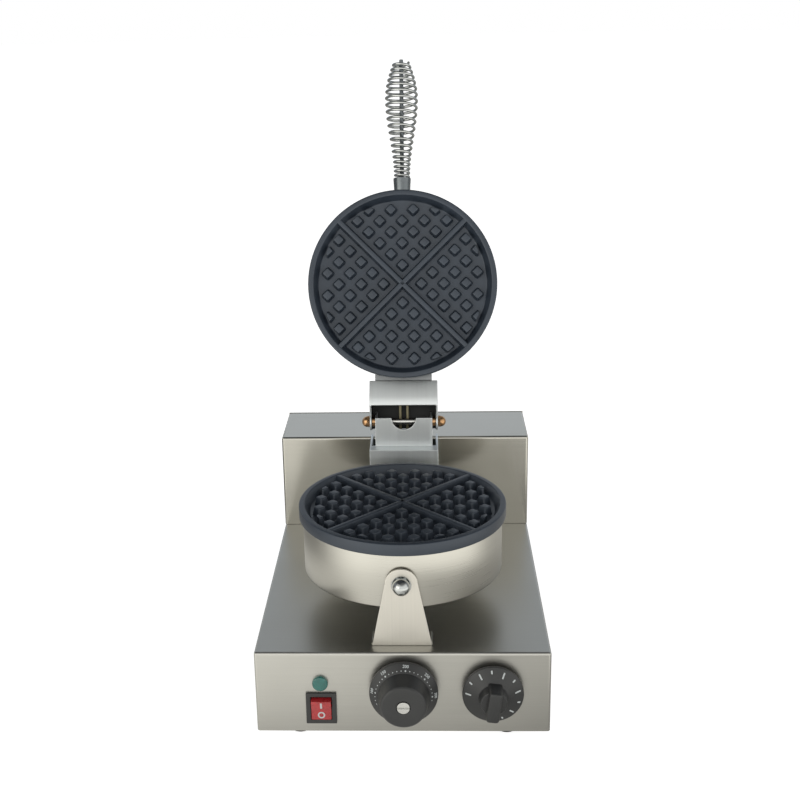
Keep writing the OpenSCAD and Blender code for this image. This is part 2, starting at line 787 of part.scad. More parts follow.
module switch_body() {
    color(black) on_panel(switch_x, switch_z) difference() {
        union() {
            translate([-13, -14.5, 0]) cube([26, 29, 2.2]);
            translate([-10.8, -12.3, -24]) cube([21.6, 24.6, 24.2]);
        }
        translate([-8.9, -10.8, -14]) cube([17.8, 21.6, 20]);
        translate([0, 0, rocker_pivot]) bar_x(2 + 2 * fit, -9.8, 9.8);
    }
}

module switch_terminals() {
    color(brass) on_panel(switch_x, switch_z) for (x = [-5, 5], y = [-7, 0, 7])
        translate([x - 0.4, y - 2.4, -33]) cube([0.8, 4.8, 9]);
}

// Rocker with a shallow V face, drawn level and tipped to its lower side
module switch_rocker() {
    half_w = 8.5;
    half_h = 9.7;
    mid = 2.6 - rocker_pivot;
    rise = half_h * tan(rocker_tilt);
    color([0.75, 0.12, 0.14]) on_panel(switch_x, switch_z)
        translate([0, 0, rocker_pivot]) rotate([rocker_tilt, 0, 0]) {
            across(-half_w, half_w) polygon([
                [-half_h, 0], [-half_h, mid + rise], [0, mid], [half_h, mid + rise], [half_h, 0],
                [4, -5], [-4, -5]
            ]);
            bar_x(2, -9.6, 9.6);
        }
}

// Capillary thermostat behind the panel
module thermostat_body() {
    color(satin) control_body(thermostat_x, thermostat_z, 40, 30, 24);
}

module timer_body() {
    color(ceramic) control_body(timer_x, timer_z, 44, 44, 30);
}

// Body with a nose in the panel hole, a bore for the spindle and two threaded holes
module control_body(x, z, w, h, depth) {
    on_panel(x, z) difference() {
        union() {
            translate([-w / 2, -h / 2, -sheet_t - depth]) cube([w, h, depth]);
            translate([0, 0, -sheet_t - 1]) cylinder(d = 9.6, h = sheet_t + 1);
        }
        translate([0, 0, -20]) cylinder(d = 6 + 2 * fit, h = 24);
        for (s = [-14, 14]) translate([s, 0, -8]) cylinder(d = 4 + 2 * fit, h = 10);
    }
}

module control_screws(x, z) {
    on_panel(x, z) for (s = [-14, 14]) translate([s, 0, 0]) pan_screw(4, 6.5, 7, 2);
}

module thermostat_screws() {
    color(shiny) control_screws(thermostat_x, thermostat_z);
}

module timer_screws() {
    color(shiny) control_screws(timer_x, timer_z);
}

// Sensor bulb clipped against the lower plate
module thermostat_bulb() {
    color(copper) translate([-20, 0, plate_z - pattern_depth - plate_base - 3.2])
        bar_y(6, plate_y - 25, plate_y + 25);
}

module spindle(x, z, front) {
    color(shiny) on_panel(x, z) translate([0, 0, -18]) cylinder(d = 6, h = 18 + front);
}

module thermostat_shaft() {
    spindle(thermostat_x, thermostat_z, 21);
}

module timer_shaft() {
    spindle(timer_x, timer_z, 20);
}

// Round knob: dial skirt, tapered grip, hollow behind
module thermostat_knob() {
    r = thermostat_skirt_d / 2;
    color(black) on_panel(thermostat_x, thermostat_z) difference() {
        rotate_extrude() polygon([
            [0, 6], [6, 6], [6, 22], [13, 22], [17, 8], [r - 2, 5.4], [r, 6], [r, 8.5],
            [22.6, 13.5], [22.2, 13.5], [19.2, 28.9], [17.6, 30.3], [6, 30.3], [6, 28.9], [0, 28.9]
        ]);
        translate([0, 0, -eps]) cylinder(d = 6 + 2 * fit, h = 22 + eps);
    }
}

module thermostat_knob_screw() {
    color(shiny) on_panel(thermostat_x, thermostat_z) difference() {
        translate([0, 0, 28.9]) cylinder(d = 10.6, h = 2);
        translate([-6, -0.7, 29.7]) cube([12, 1.4, 2]);
    }
}

// Pointer knob: dial skirt, cone hub and a bar grip
module timer_knob() {
    r = timer_skirt_d / 2;
    color(black) on_panel(timer_x, timer_z) difference() {
        union() {
            rotate_extrude() polygon([
                [0, 5], [r, 5], [r, 7.5], [17, 12], [12.5, 14], [11, 22], [0, 22]
            ]);
            rotate(-7) translate([-6.2, -14.5, 11]) cube([12.4, 28.4, 18.5]);
        }
        translate([0, 0, -eps]) cylinder(d = 6 + 2 * fit, h = 21 + eps);
        translate([0, 0, 5 - eps]) difference() {
            cylinder(r = 17, h = 2.6);
            translate([0, 0, -eps]) cylinder(r = 6, h = 6);
        }
    }
}

// ---------- lid ----------

module upper_drum() {
    color(steel) difference() {
        upper_kit() drum(upper_drum_h);
        opened() {
            mirror_x() translate([drum_bolt_x, 0, lid_bolt_z]) bar_y(6.4, plate_y + 60, drum_rear_y + 5);
            translate([0, 0, lid_bolt_z]) bar_y(12, plate_y + 60, drum_rear_y + 5);
            translate([0, 0, handle_z]) bar_y(rod_d + 0.4, drum_front_y - 5, drum_front_y + 5);
        }
    }
}

module upper_grid() {
    color(cast) upper_kit() grid_plate();
}

module upper_element() {
    color(steel) upper_kit() rotate(90) heater_ring();
}

module upper_heat_shield() {
    color(shiny) upper_kit() rotate(90) heat_shield();
}

module upper_grid_screws() {
    color(shiny) upper_kit() grid_screws(upper_drum_h);
}

// Channel with a web on top, two flanges round the bolt, and a folded lip below
module lid_bracket() {
    half = bracket_w / 2;
    web_z = hinge_z + web_h;
    back = hinge_y + web_back;
    color(satin) opened() difference() {
        union() {
            mirror_x() across(half - bracket_t, half) union() {
                polygon([
                    [lid_front_y, lip_z + 6], [lip_ys[0], lip_z], [lip_ys[1], lip_z],
                    [hinge_y - 3, hinge_z - flange_r + 0.5], [hinge_y, hinge_z],
                    [hinge_y + flange_r - 0.2, hinge_z], [back, web_z + bracket_t],
                    [lid_front_y, web_z + bracket_t]
                ]);
                translate([hinge_y, hinge_z]) circle(r = flange_r);
            }
            across(-half, half) polygon([
                [lid_front_y, web_z], [back, web_z], [back, web_z + bracket_t], [lid_front_y, web_z + bracket_t]
            ]);
            across(-half, half) polygon([
                [lid_front_y, lip_z + 6], [lip_ys[0], lip_z], [lip_ys[1], lip_z],
                [lip_ys[1], lip_z + bracket_t], [lip_ys[0] + 0.4, lip_z + bracket_t],
                [lid_front_y + bracket_t, lip_z + 6 + bracket_t - 0.6],
                [lid_front_y + bracket_t, web_z + eps], [lid_front_y, web_z + eps]
            ]);
        }
        translate([0, hinge_y, hinge_z]) bar_x(hinge_bolt_d + 2 * fit, -40, 40);
        mirror_x() translate([drum_bolt_x, 0, lid_bolt_z]) bar_y(6.4, lid_front_y - 2, lid_front_y + 5);
        translate([0, 0, lid_bolt_z]) bar_y(12, lid_front_y - 2, lid_front_y + 5);
    }
}

module lid_spacer() {
    color(satin) opened() saddle_block(lid_front_y, lid_bolt_z, 10, drum_bolt_x);
}

module lid_bolts() {
    color(shiny) opened() saddle_bolts(lid_front_y, lid_bolt_z, drum_bolt_x);
}

// ---------- handle, drawn along the lid's radius ----------

handle_z = plate_z + lid_gap + handle_h;
ferrule_len = 20;
rod_d = 4;                                    // rod through the coil and the ferrule
coil_start = drum_front_y - ferrule_len;      // where the coil leaves the ferrule

module handle_ferrule() {
    color(shiny) opened() translate([0, 0, handle_z]) difference() {
        translate([0, coil_start, 0]) rotate([-90, 0, 0])
            cylinder(d1 = 17.6, d2 = 15, h = ferrule_len + 3);
        translate([0, plate_y, -50]) cylinder(r = saddle_r, h = 100, $fn = 180);
        bar_y(rod_d + 2 * fit, coil_start - 5, drum_front_y + 5);
    }
}

module handle_rod() {
    color(shiny) opened() translate([0, 0, handle_z]) {
        bar_y(rod_d, coil_start - coil_len - 1.5, drum_front_y + 9);
        translate([0, drum_front_y + 2.5, 0]) rotate([-90, 0, 0]) cylinder(d = 7 / cos(30), h = 4, $fn = 6);
    }
}

// Outside diameter of the coil at a distance t from the tip
coil_peak = 38;
function coil_d(t) =
    t < coil_peak
        ? coil_end_d + (coil_big_d - coil_end_d) * sin(90 * t / coil_peak)
        : coil_end_d + (coil_big_d - coil_end_d) * (1 + cos(180 * (t - coil_peak) / (coil_len - coil_peak))) / 2;
// Distance from the tip after a share s of the turns: the turns lie closer at both ends
function coil_t(s) = coil_wire_d / 2 + (coil_len - coil_wire_d) * (s - 0.035 * sin(360 * s) + 0.02 * sin(180 * s));

coil_steps = 12;
coil_sides = 6;

module handle_coil() {
    n = coil_turns * coil_steps;
    points = [
        for (i = [0 : n])
            let (
                t = coil_t(i / n),
                a = 360 * i / coil_steps,
                r = (coil_d(t) - coil_wire_d) / 2
            )
            for (k = [0 : coil_sides - 1])
                let (
                    b = 360 * k / coil_sides,
                    rr = r + coil_wire_d / 2 * cos(b)
                )
                [rr * cos(a), t + coil_wire_d / 2 * sin(b), rr * sin(a)]
    ];
    side_faces = [
        for (i = [0 : n - 1], k = [0 : coil_sides - 1])
            let (a = i * coil_sides + k, b = i * coil_sides + (k + 1) % coil_sides)
            each [[a, a + coil_sides, b + coil_sides], [a, b + coil_sides, b]]
    ];
    first_cap = [[for (k = [0 : coil_sides - 1]) k]];
    last_cap = [[for (k = [coil_sides - 1 : -1 : 0]) n * coil_sides + k]];
    color(shiny) opened() translate([0, coil_start - coil_len, handle_z])
        polyhedron(points = points, faces = concat(side_faces, first_cap, last_cap));
}

// ---------- the nodes ----------

place() base_shell();
place() bottom_plate();
place() bottom_screws();
place() rubber_feet();
place() foot_screws();
place() foot_nuts();
place() rear_housing();
place() housing_screws();
place() rear_cover();
place() rear_cover_screws();
place() cable_gland();
place() gland_locknut();
place() terminal_block();
place() terminal_screws();
place() front_bracket();
place() front_bracket_screws();
place() front_spacer();
place() front_bolt();
place() front_washer();
place() front_dome_nut();
place() lower_drum();
place() lower_grid();
place() lower_element();
place() lower_heat_shield();
place() lower_grid_screws();
place() column_bracket();
place() column_screws();
place() column_spacer();
place() column_bolts();
place() hinge_bolt();
place() hinge_dome_nuts();
place() hinge_bushes();
place() lid_leads();
place() lamp_lens();
place() lamp_body();
place() lamp_nut();
place() switch_body();
place() switch_terminals();
place() thermostat_body();
place() thermostat_screws();
place() thermostat_bulb();
place() timer_body();
place() timer_screws();
place() switch_rocker();
place() thermostat_shaft();
place() thermostat_knob();
place() thermostat_knob_screw();
place() timer_shaft();
place() timer_knob();
place() upper_drum();
place() upper_grid();
place() upper_element();
place() upper_heat_shield();
place() upper_grid_screws();
place() lid_bracket();
place() lid_spacer();
place() lid_bolts();
place() handle_ferrule();
place() handle_rod();
place() handle_coil();
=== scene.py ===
"""Looks for a single-head round waffle baker with its lid open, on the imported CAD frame.

Lengths in the code are millimetres and become metres where a mesh is made. A piece drawn in a
local frame, such as a knob or a cooking plate, is put in place by its own matrix.
"""
import json
import math

import bmesh
import bpy
from mathutils import Matrix, Vector


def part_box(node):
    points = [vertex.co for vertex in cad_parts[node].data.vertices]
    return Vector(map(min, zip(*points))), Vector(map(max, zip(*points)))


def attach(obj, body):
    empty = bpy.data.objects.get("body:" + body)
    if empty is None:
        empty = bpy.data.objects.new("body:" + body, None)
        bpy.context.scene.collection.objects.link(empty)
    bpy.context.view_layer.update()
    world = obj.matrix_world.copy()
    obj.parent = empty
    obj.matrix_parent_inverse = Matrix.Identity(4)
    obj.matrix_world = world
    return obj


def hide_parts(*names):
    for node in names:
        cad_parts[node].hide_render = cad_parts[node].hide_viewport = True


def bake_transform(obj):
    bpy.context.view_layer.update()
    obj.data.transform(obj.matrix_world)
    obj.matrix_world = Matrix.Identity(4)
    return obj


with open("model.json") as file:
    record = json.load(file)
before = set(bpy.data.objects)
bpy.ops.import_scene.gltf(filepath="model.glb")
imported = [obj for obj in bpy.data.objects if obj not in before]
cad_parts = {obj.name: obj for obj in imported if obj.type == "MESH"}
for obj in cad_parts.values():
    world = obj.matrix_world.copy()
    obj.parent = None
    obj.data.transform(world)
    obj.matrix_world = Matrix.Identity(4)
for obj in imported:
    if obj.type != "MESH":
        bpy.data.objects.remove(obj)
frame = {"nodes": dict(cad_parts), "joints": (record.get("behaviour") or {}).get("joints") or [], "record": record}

MM = 0.001
NODES = frame["nodes"]
RECORD = frame["record"]
BODY = {n: b for b, members in RECORD["behaviour"]["bodies"].items() for n in members}
JOINT = {j["name"]: j for j in frame["joints"]}
scene = bpy.context.scene
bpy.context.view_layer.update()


# ---------- camera ----------

def make_camera():
    """A longish lens, a little above the machine, turned and rolled slightly to the left."""
    pitch, yaw, roll = math.radians(17.0), math.radians(2.39), math.radians(1.2)
    right = Vector((math.cos(yaw), math.sin(yaw), 0))
    up = Vector((-math.sin(yaw) * math.sin(pitch), math.cos(yaw) * math.sin(pitch), math.cos(pitch)))
    ahead = Vector((-math.sin(yaw) * math.cos(pitch), math.cos(yaw) * math.cos(pitch), -math.sin(pitch)))
    x = right * math.cos(roll) - up * math.sin(roll)
    y = right * math.sin(roll) + up * math.cos(roll)
    data = bpy.data.cameras.new("camera")
    data.lens, data.sensor_width = 56.6, 36.0
    data.shift_x, data.shift_y = 0.0309, -0.0439
    cam = bpy.data.objects.new("camera", data)
    scene.collection.objects.link(cam)
    place = Matrix((x, y, -ahead)).transposed().to_4x4()
    place.translation = (0.02183, -1.10792, 0.62098)
    cam.matrix_world = place
    scene.camera = cam


make_camera()


# ---------- mesh helpers ----------

def finish_mesh(name, bm, body, material, replaces=(), place=None, sharp=38, baked=True):
    """Turns a bmesh in millimetres into a smooth-shaded piece that rides on a body.

    place moves it from its local frame. It goes into the mesh, or stays on the object if not baked.
    sharp is the angle in degrees from which an edge stays sharp.
    """
    bmesh.ops.recalc_face_normals(bm, faces=bm.faces)
    mesh = bpy.data.meshes.new(name)
    bm.to_mesh(mesh)
    bm.free()
    mesh.transform(Matrix.Scale(MM, 4))
    if place is not None and baked:
        mesh.transform(place)
    for p in mesh.polygons:
        p.use_smooth = True
    mesh.set_sharp_from_angle(angle=math.radians(sharp))
    obj = bpy.data.objects.new(name, mesh)
    scene.collection.objects.link(obj)
    if place is not None and not baked:
        obj.matrix_world = place
    mesh.materials.append(material)
    if replaces:
        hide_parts(*replaces)
    if body:
        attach(obj, body)
    return obj


def circle(radius, sides):
    """The (x, y) points of a circle round the origin."""
    angles = [2 * math.pi * k / sides for k in range(sides)]
    return [(radius * math.cos(a), radius * math.sin(a)) for a in angles]


def rectangle(w, h):
    """The corners of a rectangle round the origin."""
    return [(-w / 2, -h / 2), (w / 2, -h / 2), (w / 2, h / 2), (-w / 2, h / 2)]


def rounded(points, radius, steps):
    """A closed outline with its corners rounded. radius is one number, or one for each corner."""
    out = []
    n = len(points)
    for i, p in enumerate(points):
        r = radius[i] if isinstance(radius, (list, tuple)) else radius
        p = Vector(p)
        a, b = Vector(points[i - 1]) - p, Vector(points[(i + 1) % n]) - p
        la, lb = a.length, b.length
        a, b = a / la, b / lb
        angle = a.angle(b)
        if r <= 0 or angle > math.radians(176):
            out.append(tuple(p))
            continue
        reach = min(r / math.tan(angle / 2), la * 0.49, lb * 0.49)
        r = reach * math.tan(angle / 2)
        centre = p + (a + b).normalized() * (r / math.sin(angle / 2))
        start, end = p + a * reach - centre, p + b * reach - centre
        turn = start.angle_signed(end)
        for k in range(steps + 1):
            t = -turn * k / steps
            c, s = math.cos(t), math.sin(t)
            out.append((centre.x + start.x * c - start.y * s, centre.y + start.x * s + start.y * c))
    return out


def lathe(bm, outline, sides):
    """Turns an outline of (radius, height) pairs about Z. Points on the axis become one vertex."""
    rings = []
    for r, z in outline:
        ring = [(0, 0)] if r < 1e-6 else circle(r, sides)
        rings.append([bm.verts.new((x, y, z)) for x, y in ring])
    for i, ring in enumerate(rings):
        nxt = rings[(i + 1) % len(rings)]
        if len(ring) == 1 and len(nxt) == 1:
            continue
        for k in range(sides):
            m = (k + 1) % sides
            if len(ring) == 1:
                bm.faces.new((ring[0], nxt[m], nxt[k]))
            elif len(nxt) == 1:
                bm.faces.new((ring[k], ring[m], nxt[0]))
            else:
                bm.faces.new((ring[k], ring[m], nxt[m], nxt[k]))


def loft(bm, rings):
    """Skins a list of rings, each a list of 3-D points, and caps the two ends."""
    made = [[bm.verts.new(p) for p in ring] for ring in rings]
    n = len(made[0])
    for a, b in zip(made, made[1:]):
        for k in range(n):
            bm.faces.new((a[k], a[(k + 1) % n], b[(k + 1) % n], b[k]))
    bm.faces.new(made[0][::-1])
    bm.faces.new(made[-1])


def prism(bm, place, outline, z0, z1):
    """A solid with the same flat outline from one height to another."""
    loft(bm, [[place @ Vector((u, v, z)) for u, v in outline] for z in (z0, z1)])


def tube(bm, path, radius, sides):
    """A round tube along a smooth path, its rings kept from twisting."""
    path = [Vector(p) for p in path]
    rings = []
    side = None
    for i, p in enumerate(path):
        ahead = (path[min(i + 1, len(path) - 1)] - path[max(i - 1, 0)]).normalized()
        if side is None:
            side = ahead.orthogonal().normalized()
        side = (side - ahead * side.dot(ahead)).normalized()
        other = ahead.cross(side)
        rings.append([p + side * u + other * v for u, v in circle(radius, sides)])
    loft(bm, rings)


def smooth_path(points, steps=6):
    """Catmull-Rom curve through the points."""
    pts = [Vector(p) for p in points]
    pts = [pts[0] * 2 - pts[1]] + pts + [pts[-1] * 2 - pts[-2]]
    out = []
    for a, b, c, d in zip(pts, pts[1:], pts[2:], pts[3:]):
        for k in range(steps):
            t = k / steps
            square, cube = 2 * a - 5 * b + 4 * c - d, 3 * b - a - 3 * c + d
            out.append(0.5 * (2 * b + (c - a) * t + square * t ** 2 + cube * t ** 3))
    return out + [pts[-2]]


def softened(name, material, width, steps=2):
    """A copy of a CAD node with the sharp edges of its sheet or moulding rounded over."""
    corner = math.radians(32)                  # edges that turn by more than this are rounded
    bm = bmesh.new()
    bm.from_mesh(NODES[name].data)
    bmesh.ops.remove_doubles(bm, verts=bm.verts, dist=3e-6)
    bmesh.ops.dissolve_limit(bm, angle_limit=math.radians(0.4), verts=bm.verts, edges=bm.edges)
    bmesh.ops.scale(bm, vec=(1 / MM,) * 3, verts=bm.verts)
    edges = [
        e for e in bm.edges
        if len(e.link_faces) == 2 and e.calc_face_angle(0) > corner
    ]
    bmesh.ops.bevel(
        bm, geom=edges, offset=width, offset_type="OFFSET", segments=steps, profile=0.6,
        affect="EDGES", clamp_overlap=False,
    )
    obj = finish_mesh("soft_" + name, bm, BODY[name], material, [name])
    even = obj.modifiers.new("even_normals", "WEIGHTED_NORMAL")
    even.keep_sharp = True
    even.weight = 100


# ---------- materials ----------

def new_material(name):
    """A new material with its nodes, links, shader and object coordinates."""
    mat = bpy.data.materials.new(name)
    mat.use_nodes = True
    nodes, links = mat.node_tree.nodes, mat.node_tree.links
    shader = nodes["Principled BSDF"]
    where = nodes.new("ShaderNodeTexCoord").outputs["Object"]
    return mat, nodes, links, shader, where


def noise(nodes, links, where, scale, detail, roughness, stretch=(1, 1, 1)):
    mapping = nodes.new("ShaderNodeMapping")
    mapping.inputs["Scale"].default_value = stretch
    links.new(where, mapping.inputs["Vector"])
    tex = nodes.new("ShaderNodeTexNoise")
    tex.inputs["Scale"].default_value = scale
    tex.inputs["Detail"].default_value = detail
    tex.inputs["Roughness"].default_value = roughness
    links.new(mapping.outputs["Vector"], tex.inputs["Vector"])
    return tex.outputs["Fac"]


def spread(nodes, links, value, low, high, start=0.3, end=0.7):
    """Maps a value from start..end to low..high."""
    node = nodes.new("ShaderNodeMapRange")
    node.inputs["From Min"].default_value = start
    node.inputs["From Max"].default_value = end
    node.inputs["To Min"].default_value = low
    node.inputs["To Max"].default_value = high
    links.new(value, node.inputs["Value"])
    return node.outputs["Result"]


def two_tone(nodes, links, value, dark, light):
    ramp = nodes.new("ShaderNodeValToRGB")
    for stop, position, color in zip(ramp.color_ramp.elements, (0.3, 0.7), (dark, light)):
        stop.position = position
        stop.color = (*color, 1)
    links.new(value, ramp.inputs["Fac"])
    return ramp.outputs["Color"]


def bump(nodes, links, shader, height, strength, distance):
    node = nodes.new("ShaderNodeBump")
    node.inputs["Strength"].default_value = strength
    node.inputs["Distance"].default_value = distance
    links.new(height, node.inputs["Height"])
    links.new(node.outputs["Normal"], shader.inputs["Normal"])


def tint(color, share):
    return tuple(min(1, c * share) for c in color)


def brushed(name, color, rough, stretch, grain=1.0, change=0.06, anisotropic=0.0):
    """Brushed sheet steel: fine grooves along one axis, with cloudy changes of tone and gloss.

    An anisotropic one has its grooves round the object's Z axis, as on turned work.
    """
    mat, nodes, links, shader, where = new_material(name)
    shader.inputs["Metallic"].default_value = 1.0
    grooves = noise(nodes, links, where, 1.0, 3.0, 0.6, stretch)
    clouds = noise(nodes, links, where, 14.0, 3.0, 0.5)
    mix = nodes.new("ShaderNodeMix")
    mix.inputs["Factor"].default_value = 0.5
    links.new(grooves, mix.inputs["A"])
    links.new(clouds, mix.inputs["B"])
    both = mix.outputs["Result"]
    tones = two_tone(nodes, links, both, tint(color, 1 - change), tint(color, 1 + change))
    links.new(tones, shader.inputs["Base Color"])
    links.new(spread(nodes, links, both, rough * 0.85, rough * 1.2), shader.inputs["Roughness"])
    bump(nodes, links, shader, grooves, 0.12 * grain, 0.00012)
    if anisotropic:
        shader.inputs["Anisotropic"].default_value = anisotropic
        tangent = nodes.new("ShaderNodeTangent")
        tangent.direction_type = "RADIAL"
        tangent.axis = "Z"
        links.new(tangent.outputs["Tangent"], shader.inputs["Tangent"])
    return mat


def cast(name, color, rough):
    """Coated cast metal: fine orange-peel, with cloudy changes of tone and gloss."""
    mat, nodes, links, shader, where = new_material(name)
    fine = noise(nodes, links, where, 900.0, 2.0, 0.5)
    broad = noise(nodes, links, where, 30.0, 4.0, 0.55)
    tones = two_tone(nodes, links, broad, tint(color, 0.84), tint(color, 1.14))
    links.new(tones, shader.inputs["Base Color"])
    links.new(spread(nodes, links, broad, rough * 0.88, rough * 1.12), shader.inputs["Roughness"])
    shader.inputs["Metallic"].default_value = 0.35
    shader.inputs["Specular IOR Level"].default_value = 0.6
    shader.inputs["Coat Weight"].default_value = 0.2
    shader.inputs["Coat Roughness"].default_value = 0.3
    bump(nodes, links, shader, fine, 0.25, 0.00015)
    return mat


def plain_metal(name, color, rough, scratch=0.5):
    """Bright turned or plated metal with light handling marks."""
    mat, nodes, links, shader, where = new_material(name)
    shader.inputs["Metallic"].default_value = 1.0
    marks = noise(nodes, links, where, 260.0, 5.0, 0.65)
    broad = noise(nodes, links, where, 60.0, 2.0, 0.5)
    tones = two_tone(nodes, links, broad, tint(color, 0.92), tint(color, 1.04))
    links.new(tones, shader.inputs["Base Color"])
    links.new(spread(nodes, links, marks, rough * 0.7, rough * 1.35), shader.inputs["Roughness"])
    bump(nodes, links, shader, marks, 0.05 * scratch, 0.0001)
    return mat


def moulded(name, color, rough, grain=1.0):
    """Moulded plastic, rubber or ceramic with a fine spark-eroded grain."""
    mat, nodes, links, shader, where = new_material(name)
    fine = noise(nodes, links, where, 1500.0, 2.0, 0.5)
    broad = noise(nodes, links, where, 45.0, 3.0, 0.5)
    tones = two_tone(nodes, links, broad, tint(color, 0.9), tint(color, 1.1))
    links.new(tones, shader.inputs["Base Color"])
    links.new(spread(nodes, links, broad, rough * 0.9, rough * 1.12), shader.inputs["Roughness"])
    bump(nodes, links, shader, fine, 0.18 * grain, 0.00008)
    return mat


def lens_glass(name, color, rough):
    """Tinted translucent moulding with a glossy face, for the lamp and the rocker."""
    mat, nodes, links, shader, where = new_material(name)
    broad = noise(nodes, links, where, 220.0, 2.0, 0.5)
    tones = two_tone(nodes, links, broad, tint(color, 0.85), tint(color, 1.12))
    links.new(tones, shader.inputs["Base Color"])
    links.new(spread(nodes, links, broad, rough * 0.8, rough * 1.2), shader.inputs["Roughness"])
    shader.inputs["Subsurface Weight"].default_value = 0.25
    shader.inputs["Subsurface Radius"].default_value = (0.001, 0.002, 0.0015)
    shader.inputs["Coat Weight"].default_value = 0.5
    shader.inputs["Coat Roughness"].default_value = 0.08
    bump(nodes, links, shader, broad, 0.08, 0.0002)
    return mat


STEEL = (0.47, 0.46, 0.42)
MAT = {
    "brushed_steel": brushed("brushed_steel", STEEL, 0.22, (9, 900, 900)),
    "base_steel": brushed("base_steel", (0.47, 0.465, 0.435), 0.36, (9, 900, 900)),
    "hood_steel": brushed("hood_steel", (0.44, 0.43, 0.39), 0.16, (9, 900, 900)),
    "tab_steel": brushed("tab_steel", (0.60, 0.58, 0.53), 0.40, (900, 900, 9)),
    "drum_steel": brushed("drum_steel", STEEL, 0.30, (14, 14, 1400), anisotropic=0.8),
    "satin_steel": brushed("satin_steel", (0.66, 0.69, 0.70), 0.46, (700, 9, 9), 0.7, 0.05),
    # painted shade: a darker copy of the satin steel for the lid spacer, which sits in shade between the drum and
    # the lid bracket
    "painted_shade_satin_steel": brushed("painted_shade_satin_steel", (0.24, 0.25, 0.26), 0.42, (700, 9, 9), 0.7, 0.08),
    # painted shade: a near-black steel for the faces inside the lid bracket's channel, where shade falls
    "shade_painted_inner_steel": brushed("shade_painted_inner_steel", (0.035, 0.036, 0.036), 0.5, (700, 9, 9), 0.7, 0.12),
    "cast_plate": cast("cast_plate", (0.026, 0.036, 0.052), 0.46),
    "black_rubber": moulded("black_rubber", (0.018, 0.018, 0.018), 0.62, 1.6),
    "bright_steel": plain_metal("bright_steel", (0.62, 0.62, 0.60), 0.24),
    "chrome": plain_metal("chrome", (0.44, 0.455, 0.45), 0.14, 0.2),
    "dull_steel": plain_metal("dull_steel", (0.15, 0.165, 0.175), 0.30),
    "brass": plain_metal("brass", (0.48, 0.28, 0.14), 0.28),
    "copper": plain_metal("copper", (0.62, 0.30, 0.18), 0.3),
    "heater_steel": plain_metal("heater_steel", (0.20, 0.18, 0.16), 0.5, 1.0),
    "black_plastic": moulded("black_plastic", (0.024, 0.025, 0.026), 0.44),
    "pale_plastic": moulded("pale_plastic", (0.62, 0.58, 0.50), 0.5),
    "galvanised": plain_metal("galvanised", (0.45, 0.46, 0.47), 0.42, 1.5),
    "lead_sleeve": moulded("lead_sleeve", (0.26, 0.23, 0.14), 0.6, 2.0),
    "green_lens": lens_glass("green_lens", (0.010, 0.115, 0.100), 0.22),
    "red_plastic": lens_glass("red_plastic", (0.36, 0.018, 0.022), 0.3),
    "white_mark": moulded("white_mark", (0.46, 0.49, 0.50), 0.6),
}
for node in NODES.values():
    wanted = node.data.materials[0].name.split(".")[0]
    node.material_slots[0].material = MAT[wanted]
NODES["handle_rod"].material_slots[0].material = MAT["dull_steel"]


# ---------- where things are ----------

def matrix_of(origin, x, y, z):
    """A frame at origin (metres) with its own X, Y and Z axes."""
    m = Matrix((x, y, z)).transposed().to_4x4()
    m.translation = origin
    return m


low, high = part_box("lower_grid")
PLATE_Y = (low.y + high.y) / 2
PLATE_Z = high.z
PLATE_R = (high.x - low.x) / 2 / MM
HINGE = Vector(JOINT["lid_hinge"]["pos_m"])
OPEN = math.radians(JOINT["lid_hinge"]["range_deg"][1])
LID_GAP = 0.8                                  # between the two plates when the lid is shut
LOWER = Matrix.Translation((0, PLATE_Y, PLATE_Z))
SWING = Matrix.Translation(HINGE) @ Matrix.Rotation(-OPEN, 4, "X") @ Matrix.Translation(-HINGE)
UPPER = SWING @ Matrix.Translation((0, PLATE_Y, PLATE_Z + LID_GAP * MM)) @ Matrix.Rotation(
    math.pi, 4, "Y") @ Matrix.Rotation(math.pi, 4, "Z")
PANEL_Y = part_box("base_shell")[0].y

ROUND_SIDES = 160                              # sides of the drums' and plates' circles
DRUM_R, DRUM_WALL = 89.0, 1.0
LOWER_DRUM_H, UPPER_DRUM_H = 49.5, 36
RIM_W, RIM_H = 5.2, 10.9                       # the plate's rim, which rests on its drum
SKIRT_R, SKIRT_END = 87.6, -16                 # the plate's skirt inside the drum
PATTERN = 8.5                                  # depth of the waffle pattern
PITCH, FIRST = 15.5, 13.1                      # spacing of the studs, and the first one off the ribs
STUD_ROWS = (5, 5, 4, 3, 2)                    # studs in each row of a quarter
STUD_REACH = 80.4                              # the studs are cut off round at this radius
FERRULE_L = 20.0
HANDLE_H = 28.0                                # from the lid's plate to the handle's axis


def on_panel(node):
    """The frame of a round control: X to the right, Y up, Z out of the front panel."""
    lo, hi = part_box(node)
    return matrix_of(((lo.x + hi.x) / 2, PANEL_Y, (lo.z + hi.z) / 2), (1, 0, 0), (0, 0, 1), (0, -1, 0))


# ---------- sheet metal and castings that keep the CAD shape ----------

OWN_FINISH = {
    "base_shell": "base_steel", "rear_housing": "hood_steel", "front_bracket": "tab_steel",
    # the lid spacer's darker steel is painted shade
    "lid_spacer": "painted_shade_satin_steel", "handle_ferrule": "dull_steel",
}
for name, kind, width in (
    ("base_shell", "brushed_steel", 0.35), ("bottom_plate", "brushed_steel", 0.25),
    ("rear_housing", "brushed_steel", 0.35), ("rear_cover", "brushed_steel", 0.35),
    ("front_bracket", "brushed_steel", 0.6), ("column_bracket", "satin_steel", 0.55),
    ("lid_bracket", "satin_steel", 0.8), ("column_spacer", "satin_steel", 0.6),
    ("lid_spacer", "satin_steel", 0.6), ("front_spacer", "satin_steel", 0.4),
    ("cable_gland", "black_plastic", 0.6), ("rubber_feet", "black_rubber", 0.5),
    ("handle_ferrule", "chrome", 0.5),
):
    softened(name, MAT[OWN_FINISH.get(name, kind)], width)


